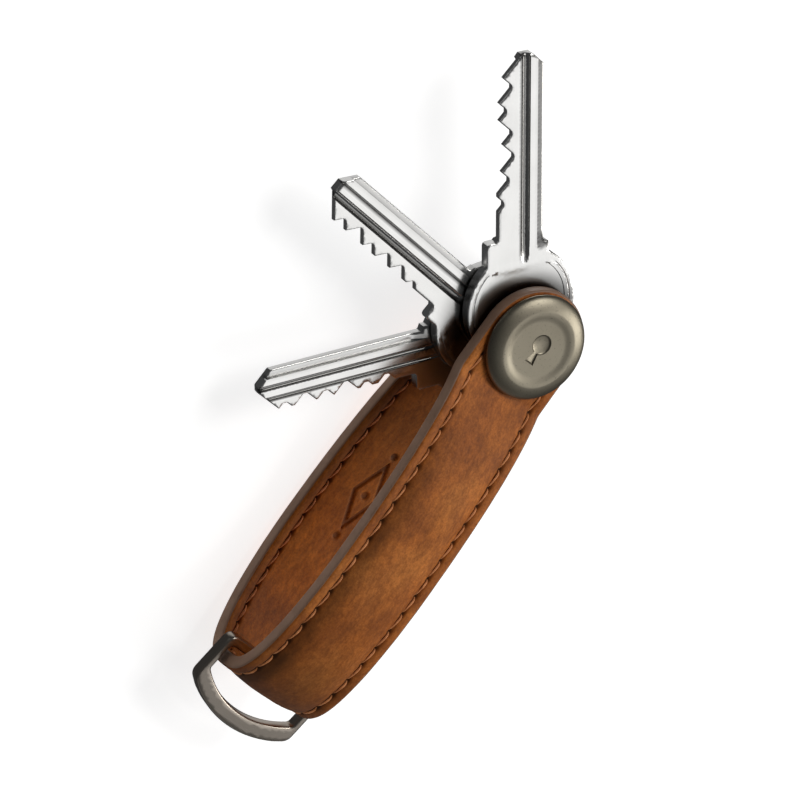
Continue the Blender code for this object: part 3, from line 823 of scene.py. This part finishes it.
def key_outline(drop, width, step, shoulder, length, edge):
    half = width / 2.0
    tip = shoulder + length
    outer_step = half + step
    back_step = half + BACK_STEP
    start = math.asin(back_step / BOW_RADIUS)
    stop = math.asin(outer_step / BOW_RADIUS)
    sweep = math.tau - start - stop
    outline = []
    for i in range(97):
        angle = start + sweep * i / 96.0
        outline.append((BOW_RADIUS * math.sin(angle), BOW_CENTRE + BOW_RADIUS * math.cos(angle)))
    outline.append((-outer_step, shoulder - 0.6))
    outline.append((-outer_step + 0.18, shoulder - 0.18))
    outline.append((-outer_step + 0.6, shoulder))
    outline.append((-half - 0.3, shoulder))
    outline.append((-half, shoulder + 0.3))
    outline += [(-half + depth, y) for y, depth in edge]
    last_y, last_depth = edge[-1]
    rise = min(tip - TIP_CHAMFER - last_y, last_depth)
    outline.append((-half + last_depth - rise, last_y + rise))
    outline.append((-half + last_depth - rise + TIP_CHAMFER, tip))
    outline.append((half - TIP_BACK_CHAMFER, tip))
    outline.append((half, tip - TIP_BACK_CHAMFER))
    outline.append((half, shoulder - 1.2))
    outline.append((half + 0.15, shoulder - 1.4))
    outline.append((back_step, shoulder - 1.7))
    return [(x - drop, y) for x, y in outline][::-1]


def key(spec):
    """One key: turned rim and sunk field on the bow, milled grooves that run out into the bow."""
    name, angle, drop, width, step, shoulder, length, first, spacing, depths, grooves, rail, shade_spec = spec
    half = width / 2.0
    tip = shoulder + length
    edge = cut_edge(shoulder, first, spacing, depths)
    outline = dense(key_outline(drop, width, step, shoulder, length, edge), 0.55)
    around = [math.tau * i / 48.0 for i in range(48)]
    hole = [(HOLE_RADIUS * math.cos(a), -HOLE_RADIUS * math.sin(a)) for a in around]
    run_in = shoulder - 4.6
    lines = []
    ys = np.arange(run_in - 0.4, tip + 0.6, 0.55)
    xs = []
    for centre, reach, _ in grooves:
        xs += [centre + reach * t for t in (-1.0, -0.94, -0.78, -0.5, -0.2, 0.2, 0.5, 0.78, 0.94, 1.0)]
    xs += [half - rail - 0.10, half - rail]
    for x in xs:
        lines.append([(x - drop, y) for y in ys])
    lines.append([(-half + TOOTH_LAND - drop, y) for y in ys if y > shoulder + 0.4])
    grid = []
    spread = np.arange(-BOW_RADIUS, BOW_RADIUS + 0.1, 0.75)
    for x in spread:
        for y in np.arange(BOW_CENTRE - BOW_RADIUS, tip, 0.75):
            grid.append((x - drop + 0.01 * math.sin(7.0 * y), y + 0.2 * math.sin(3.0 * x)))
    turns = [math.tau * i / 90.0 for i in range(91)]
    for radius in RIM_LINES:
        rim = [(radius * math.sin(a) - drop, BOW_CENTRE + radius * math.cos(a)) for a in turns]
        rim = sorted([p for p in rim if p[1] < shoulder - 5.0], key=lambda p: p[1])
        lines.append([p for p in rim if p[0] <= -drop])
        lines.append([p for p in rim if p[0] > -drop])

    def top(px, py):
        x = px + drop
        z = np.full(len(px), KEY_THICKNESS / 2.0)
        run = np.sqrt(np.clip((py - run_in) / 5.4, 0.0, 1.0))
        for centre, reach, deep in grooves:
            t = (x - centre) / reach
            bowl = deep * np.sqrt(np.clip(1.0 - t * t, 0.0, 1.0))
            z -= np.clip(bowl - (1.0 - run) * deep, 0.0, None)
        side = np.clip((x - (half - rail - 0.10)) / 0.10, 0.0, 1.0) * (py > shoulder - RAIL_LEAD)
        z -= RAIL_DEPTH * side * np.clip((py - shoulder + RAIL_LEAD) / 3.0, 0.0, 1.0)
        r = np.hypot(x, py - BOW_CENTRE)
        mask = 1.0 - smooth(shoulder - 6.4, shoulder - 5.0, py)
        line = np.clip(1.0 - np.abs(r - RIM_RADIUS) / 0.20, 0.0, 1.0) ** 0.5
        field = 1.0 - np.clip((r - FIELD_RADIUS) / 0.10, 0.0, 1.0)
        z -= mask * (0.10 * line + field * (0.14 + 0.16 * (1.0 - (np.minimum(r, 8.4) / 8.4) ** 2)))
        z -= 0.14 * np.clip((py - (tip - 0.6)) / 0.6, 0.0, 1.0)
        return z

    def bottom(px, py):
        x = px + drop
        z = np.full(len(px), -KEY_THICKNESS / 2.0)
        land = (x < -half + TOOTH_LAND) & (py > shoulder + 0.4)
        return np.where(land, -0.10, z)

    shade_from, shade_to, rail_dark = shade_spec

    def painted_key_shade(px, py):
        """Painted shade on the key: the groove walls, the rail's foot and the bow by the button, where shade
        and dark reflections fall, and a darker rail.
        """
        x = px + drop
        run = np.clip((py - run_in) / 2.0, 0.0, 1.0)
        dark = np.zeros(len(px))
        # Painted shade on the groove walls.
        for centre, reach, _ in grooves:
            t = (x - centre) / reach
            wall = np.where(np.abs(t) <= 1.0, 1.0 - smooth(-0.2, 1.0, t), 0.0)
            dark = np.maximum(dark, 0.92 * wall * run)
        # How dark the rail is painted, and painted shade along the rail's foot.
        spine = rail_dark * smooth(half - rail, half - rail + 0.1, x) * (py > shoulder - RAIL_LEAD)
        foot = np.exp(-((x - (half - rail + 0.12)) / 0.16) ** 2) * (py > shoulder - RAIL_LEAD)
        # Painted shade on the bow by the button: a painted dark reflection.
        shade = 0.88 * (1.0 - smooth(shade_from, shade_to, np.hypot(px, py)))
        return np.maximum.reduce([dark, spine, 0.8 * foot, shade])

    low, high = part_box(name)
    points, faces = relief_plate([outline, hole], lines, grid, top, bottom,
                                 ((0.0, 0.13), (0.05, 0.05), (0.15, 0.0)))
    level = (low.z + high.z) / 2.0
    matrix = Matrix.Translation((POST.x, POST.y, level)) @ Matrix.Rotation(math.radians(angle), 4, "Z")
    flat = points[:len(points) // 2] / MM
    # The painted shade goes on the top face only and reaches the nickel as an attribute.
    dark = np.concatenate([painted_key_shade(flat[:, 0], flat[:, 1]), np.zeros(len(points) - len(flat))])
    piece(name + "_milled", points, faces, NICKEL, name, 28.0, matrix, (name,), dark)


# ---------------------------------------------------------------- ring

RING_TILT = 9.0
RING_EYE = 9.65
RING_DROP = 3.4
RING_SIDE_PLAY = 0.75
RING_ARM = 1.4
RING_BAR_HALF = 0.9
RING_BOW = 3.0
RING_CORNER = 2.2
RING_BAR_CORNER = 1.9
EYE_CORNER = 0.9
RING_HALF_THICKNESS = 1.2
RING_GRID = 0.6


def fillet(corners, steps=7):
    """Rounds each corner (x, y, radius) of a closed outline."""
    out = []
    count = len(corners)
    for i, (x, y, radius) in enumerate(corners):
        here = Vector((x, y))
        back = Vector(corners[i - 1][:2]) - here
        ahead = Vector(corners[(i + 1) % count][:2]) - here
        if radius <= 0.0:
            out.append((x, y))
            continue
        turn = back.angle(ahead) / 2.0
        reach = min(radius / math.tan(turn), 0.49 * back.length, 0.49 * ahead.length)
        a = here + back.normalized() * reach
        b = here + ahead.normalized() * reach
        for k in range(steps + 1):
            t = k / steps
            p = a * (1 - t) ** 2 + here * 2 * t * (1 - t) + b * t * t
            out.append((p.x, p.y))
    return out


def bow_arc(centre, radius, half_width, steps):
    reach = math.asin(half_width / radius)
    turns = [reach * (1.0 - 2.0 * i / steps) for i in range(steps + 1)]
    return [(radius * math.sin(t), centre - radius * math.cos(t)) for t in turns]


def ring():
    inner_half = HALF_WIDTH + RING_SIDE_PLAY
    outer_half = inner_half + RING_ARM
    bar = RING_BAR_HALF
    inner_radius = (inner_half ** 2 + RING_DROP ** 2) / (2.0 * RING_DROP)
    outer_radius = inner_radius + RING_BOW
    centre = -RING_EYE + inner_radius
    bow = bow_arc(centre, outer_radius, outer_half - 0.2, 40)
    corner_y = bow[0][1]
    outer = [(outer_half, corner_y + 0.2, RING_CORNER), (outer_half, bar, RING_BAR_CORNER)]
    outer += [(-outer_half, bar, RING_BAR_CORNER), (-outer_half, corner_y + 0.2, RING_CORNER)]
    body = [(x, y, 0.0) for x, y in bow[::-1] if abs(x) < outer_half - RING_CORNER]
    eye_arc = [(x, y, 0.0) for x, y in bow_arc(centre, inner_radius, inner_half, 40)]
    first, last = eye_arc[0], eye_arc[-1]
    eye = [(-inner_half, -bar, EYE_CORNER), (inner_half, -bar, EYE_CORNER)]
    eye += [(first[0], first[1], EYE_CORNER)] + eye_arc[2:-2] + [(last[0], last[1], EYE_CORNER)]
    loop = dense(fillet(outer + body), RING_GRID)
    hole = dense(fillet(eye), RING_GRID)

    def signed(points):
        return sum(a[0] * b[1] - b[0] * a[1] for a, b in zip(points, points[1:] + points[:1]))

    if signed(loop) < 0:
        loop = loop[::-1]
    if signed(hole) > 0:
        hole = hole[::-1]
    grid = [(x, y) for x in np.arange(-12.0, 12.1, RING_GRID)
            for y in np.arange(-14.0, 1.0, RING_GRID)]
    rounding = ((0.0, 0.42), (0.05, 0.24), (0.14, 0.11), (0.28, 0.03), (0.42, 0.0))

    def top(px, py):
        return np.full(len(px), RING_HALF_THICKNESS)

    def bottom(px, py):
        return np.full(len(px), -RING_HALF_THICKNESS)

    points, faces = relief_plate([loop, hole], [], grid, top, bottom, rounding)
    yaw = math.atan2(RING_LINE.y, RING_LINE.x)
    matrix = Matrix.Translation(RING_AXIS) @ Matrix.Rotation(yaw, 4, "Z")
    matrix = matrix @ Matrix.Rotation(math.radians(RING_TILT), 4, "X")
    piece("d_ring_polished", points, faces, GUNMETAL, "d_ring", 40.0, matrix, ("d_ring",))


# ---------------------------------------------------------------- post and buttons

# Heights over the leather, dishes, the gaps that let parts seat, the screw, post, washers and the
# wavy spring, whose room is its thickness, its waves and three gaps.
FRONT_HEIGHT = 2.1
REAR_HEIGHT = 2.7
FRONT_DISH = 0.24
REAR_DISH = 0.40
SEAT_GAP = 0.05
POCKET = 4.1
SCREW_HOLE = 1.6
SCREW_RADIUS = 1.5
SCREW_HEAD = 1.0
SCREW_ENGAGED = 2.8
POST_SHORT = 0.3
POST_RADIUS = 2.3
POST_FLANGE = 0.65
WASHER_RADIUS = 5.0
WASHER_EDGE = 0.04
SPRING_ROOM = 0.18 + 0.16 + 0.15
SPRING_WAVE = 0.08
SPRING_HALF = 0.09
BUTTON_STEPS = 144


def crown_profile(height, deep):
    """The button from its foot over its sloping shoulder into the dish, height above the leather."""
    points = [(8.70, 0.05), (9.00, 0.14), (9.28, 0.30), (9.44, 0.48), (9.50, 0.68)]
    tall = height - 0.72
    for i in range(1, 12):
        turn = math.radians(46.0) * i / 11.0
        fall = (1.0 - math.cos(turn)) / (1.0 - math.cos(math.radians(46.0)))
        points.append((9.50 - 2.40 * fall, 0.68 + tall * math.sin(turn) / math.sin(math.radians(46.0))))
    points += [(6.95, height - 0.012), (6.80, height), (6.64, height - 0.010)]
    for i in range(1, 9):
        t = i / 8.0
        points.append((6.64 - 1.75 * t, height - 0.010 - (deep - 0.010) * t * t * (3.0 - 2.0 * t)))
    return points


def mark_outline(grow):
    """A plain keyhole."""
    radius = 1.75 + grow
    half = 0.85 + grow
    eye_y = 0.95
    spread = math.asin(0.5 * half / radius)
    outline = []
    for i in range(41):
        angle = -math.pi / 2.0 + spread + (math.tau - 2.0 * spread) * i / 40.0
        outline.append((radius * math.cos(angle), eye_y + radius * math.sin(angle)))
    outline.append((-half, -2.70 - grow))
    outline.append((half, -2.70 - grow))
    return outline


def front_button():
    floor = FRONT_HEIGHT - FRONT_DISH
    profile = [(0.0, 0.75), (POCKET, 0.75), (POCKET, SEAT_GAP)]
    profile += crown_profile(FRONT_HEIGHT, FRONT_DISH) + [(0.0, floor)]
    points, faces = turned_mesh(profile, BUTTON_STEPS)
    base = Vector((POST.x, POST.y, POST.z + LEG_FACE * MM))
    obj = plain_mesh("front_button_cast", [Vector(p) + base for p in points], faces, BRONZE)
    rings = []
    for grow, z in ((-0.24, floor - 0.26), (-0.06, floor - 0.18), (0.12, floor + 0.01), (0.14, floor + 1.0)):
        rings += [Vector((x * MM, y * MM, z * MM)) + base for x, y in mark_outline(grow)]
    count = len(mark_outline(0.0))
    cutter = plain_mesh("mark", rings, loft_faces(4, count))
    baked(obj, [cutter])
    finish_piece(obj, "strap", 30.0, ("front_button",))


def rear_button():
    """The rear button, with a pocket for the spring washer and a recess for the screw, and the screw."""
    floor = REAR_HEIGHT - REAR_DISH
    ledge = floor - SCREW_HEAD - SEAT_GAP
    profile = [(SCREW_HOLE, SPRING_ROOM), (POCKET, SPRING_ROOM), (POCKET, SEAT_GAP)]
    profile += crown_profile(REAR_HEIGHT, REAR_DISH)
    profile += [(4.72, floor), (4.6, floor - 0.12), (4.6, ledge), (SCREW_HOLE, ledge)]
    points, faces = turned_mesh([(r, -z) for r, z in profile], BUTTON_STEPS)
    base = Vector((POST.x, POST.y, POST.z - LEG_FACE * MM))
    matrix = Matrix.Translation(base)
    piece("rear_button_cast", points, faces, BRONZE, "rear_button", 30.0, matrix,
          ("rear_button",))
    face = -floor
    tip = POST_SHORT + SCREW_ENGAGED
    head = [(0.0, face + 0.05), (2.0, face + 0.03), (3.9, face), (4.3, face + 0.06), (4.5, face + 0.25)]
    head += [(4.5, face + 0.9), (4.4, face + SCREW_HEAD), (SCREW_RADIUS, face + SCREW_HEAD)]
    head += [(SCREW_RADIUS, tip - 0.3)]
    head += [(1.2, tip), (0.0, tip)]
    points, faces = turned_mesh(head, 96)
    screw = plain_mesh("clamp_screw_turned", [Vector(p) + base for p in points], faces, STEEL)
    slot = [(x * MM, y * MM, z * MM) for z in (face - 1.0, face + 0.6) for x, y in
            ((-0.75, -5.5), (0.75, -5.5), (0.75, 5.5), (-0.75, 5.5))]
    cutter = plain_mesh("coin_slot", [Vector(p) + base for p in slot], loft_faces(2, 4))
    baked(screw, [cutter])
    finish_piece(screw, "clamp_screw", 30.0, ("clamp_screw",))


def small_parts():
    """Washers, post and spring washer, finer than their solids."""
    for name in ("front_washer", "spacer_1_2", "spacer_2_3", "rear_washer"):
        low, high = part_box(name)
        thick = (high.z - low.z) / MM
        outer = WASHER_RADIUS - WASHER_EDGE
        inner = HOLE_RADIUS + WASHER_EDGE
        profile = [(HOLE_RADIUS, WASHER_EDGE), (inner, 0.0), (outer, 0.0), (WASHER_RADIUS, WASHER_EDGE)]
        profile += [(WASHER_RADIUS, thick - WASHER_EDGE), (outer, thick), (inner, thick)]
        profile += [(HOLE_RADIUS, thick - WASHER_EDGE)]
        points, faces = turned_mesh(profile, 72)
        matrix = Matrix.Translation((POST.x, POST.y, low.z))
        piece(name + "_moulded", points, faces, NYLON, "strap", 35.0, matrix, (name,))
    flange = LEG_FACE + SEAT_GAP
    end = -LEG_FACE + POST_SHORT
    roof = LEG_FACE - 1.0
    profile = [(0.0, flange + POST_FLANGE), (3.9, flange + POST_FLANGE), (4.0, flange + 0.55), (4.0, flange)]
    profile += [(POST_RADIUS, flange), (POST_RADIUS, end + 0.1), (2.2, end), (SCREW_HOLE, end)]
    profile += [(SCREW_HOLE, roof), (0.0, roof)]
    points, faces = turned_mesh(profile, 72)
    piece("threaded_post_turned", points, faces, STEEL, "strap", 35.0,
          Matrix.Translation(POST), ("threaded_post",))
    centre = -LEG_FACE - SEAT_GAP - SPRING_WAVE - SPRING_HALF
    points = []
    for i in range(96):
        angle = math.tau * i / 96.0
        z = centre + SPRING_WAVE * math.cos(3.0 * angle)
        for r, h in ((2.15, -SPRING_HALF), (4.0, -SPRING_HALF), (4.0, SPRING_HALF), (2.15, SPRING_HALF)):
            points.append((r * math.cos(angle) * MM, r * math.sin(angle) * MM, (z + h) * MM))
    piece("spring_washer_formed", points, loft_faces(96, 4, closed=True), STEEL, "strap", 35.0,
          Matrix.Translation(POST), ("spring_washer",))


# ---------------------------------------------------------------- stage

# Camera: millimetres off the post's middle, and the picture's scale. Distances from here on in metres.
PICTURE = 800.0
PER_MM = 5.896
SENSOR = 36.0
CAMERA_DISTANCE = 2.5
FRAME_RIGHT = -19.53
FRAME_UP = -11.54

FLOOR_HALF = 4.0
FLOOR_GREY = 0.55
FLOOR_GLOW = 0.80
CARD_LEVEL = -0.5
CARD_GLOW = 0.70
WORLD_GLOW = 0.06
WHITE = (1.0, 1.0, 1.0)

# Name, direction from the post, distance, width, height, power, colour.
LIGHTS = (
    ("soft_box", (0.605, -0.02, 0.796), 1.1, 0.70, 0.70, 1.60, WHITE),
    ("key_light", (0.85, 0.35, 0.55), 1.5, 0.5, 0.5, 6.5, (1.0, 0.98, 0.95)),
    ("top_light", (0.10, 0.75, 0.95), 1.5, 0.6, 0.6, 8.0, (1.0, 0.99, 0.97)),
    ("left_fill", (-1.0, 0.25, 0.12), 1.3, 0.25, 0.25, 0.25, WHITE),
    ("far_card", (0.50, -0.85, 0.33), 1.5, 1.7, 0.55, 0.70, WHITE),
)


def area(name, direction, distance, width, height, power, colour):
    data = bpy.data.lights.new(name, "AREA")
    data.shape = "RECTANGLE"
    data.size = width
    data.size_y = height
    data.energy = power
    data.color = colour
    obj = bpy.data.objects.new(name, data)
    bpy.context.scene.collection.objects.link(obj)
    way = Vector(direction).normalized()
    obj.location = POST + way * distance
    obj.rotation_mode = "QUATERNION"
    obj.rotation_quaternion = way.to_track_quat("Z", "Y")


def glowing(name, base, glow, rough=None):
    mat, _, shader = graph(name)
    shader.inputs["Base Color"].default_value = (base, base, base, 1.0)
    if rough is not None:
        shader.inputs["Roughness"].default_value = rough
    shader.inputs["Emission Color"].default_value = (*WHITE, 1.0)
    shader.inputs["Emission Strength"].default_value = glow
    return mat


def sheet(name, low, high, level, mat):
    """A level rectangle between two corners."""
    corners = [(low[0], low[1], level), (high[0], low[1], level), (high[0], high[1], level),
               (low[0], high[1], level)]
    return plain_mesh(name, corners, [(0, 1, 2, 3)], mat)


def camera():
    scene = bpy.context.scene
    right = Vector((3.881, 3.447, 2.836)).normalized()
    up = Vector((-2.646, 4.776, -2.176))
    up = (up - right * up.dot(right)).normalized()
    back = right.cross(up)
    data = bpy.data.cameras.new("camera")
    data.sensor_width = SENSOR
    data.lens = SENSOR * CAMERA_DISTANCE / (PICTURE / PER_MM * MM)
    data.clip_start = 0.1
    data.clip_end = 20.0
    obj = bpy.data.objects.new("camera", data)
    scene.collection.objects.link(obj)
    obj.matrix_world = Matrix((right, up, back)).transposed().to_4x4()
    obj.location = POST + (right * FRAME_RIGHT + up * FRAME_UP) * MM + back * CAMERA_DISTANCE
    scene.camera = obj


def stage():
    """The pale floor, a card below it that only reflections see, the dim surroundings and the lights."""
    corner = (FLOOR_HALF, FLOOR_HALF)
    pale = glowing("pale_floor", FLOOR_GREY, FLOOR_GLOW, 0.9)
    floor = sheet("floor", (-FLOOR_HALF, -FLOOR_HALF), corner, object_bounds()[0].z, pale)
    floor.visible_glossy = False
    floor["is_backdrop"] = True

    white = glowing("white_card", 0.0, CARD_GLOW)
    card = sheet("reflection_card", (-0.30, 0.22), (0.50, 1.10), CARD_LEVEL, white)
    card.visible_camera = False
    card.visible_diffuse = False
    card.visible_shadow = False
    card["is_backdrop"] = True

    scene = bpy.context.scene
    world = bpy.data.worlds.new("studio")
    scene.world = world
    world.use_nodes = True
    background = world.node_tree.nodes["Background"]
    background.inputs["Color"].default_value = (0.95, 0.97, 1.0, 1.0)
    background.inputs["Strength"].default_value = WORLD_GLOW
    for light in LIGHTS:
        area(*light)
    scene.view_settings.view_transform = "Standard"
    scene.view_settings.look = "None"


ply("outer_ply_leather", "outer", OUTER, "strap_outer_leather")
ply("inner_ply_leather", "inner", INNER, "strap_inner_leather")
edge_paint()
stitches("outer_stitches_left", "outer", -SEAM, "outer_stitch_left")
stitches("outer_stitches_right", "outer", SEAM, "outer_stitch_right")
stitches("inner_stitches_left", "inner", -SEAM, "inner_stitch_left")
stitches("inner_stitches_right", "inner", SEAM, "inner_stitch_right")
for spec in KEYS:
    key(spec)
ring()
front_button()
rear_button()
small_parts()
camera()
stage()
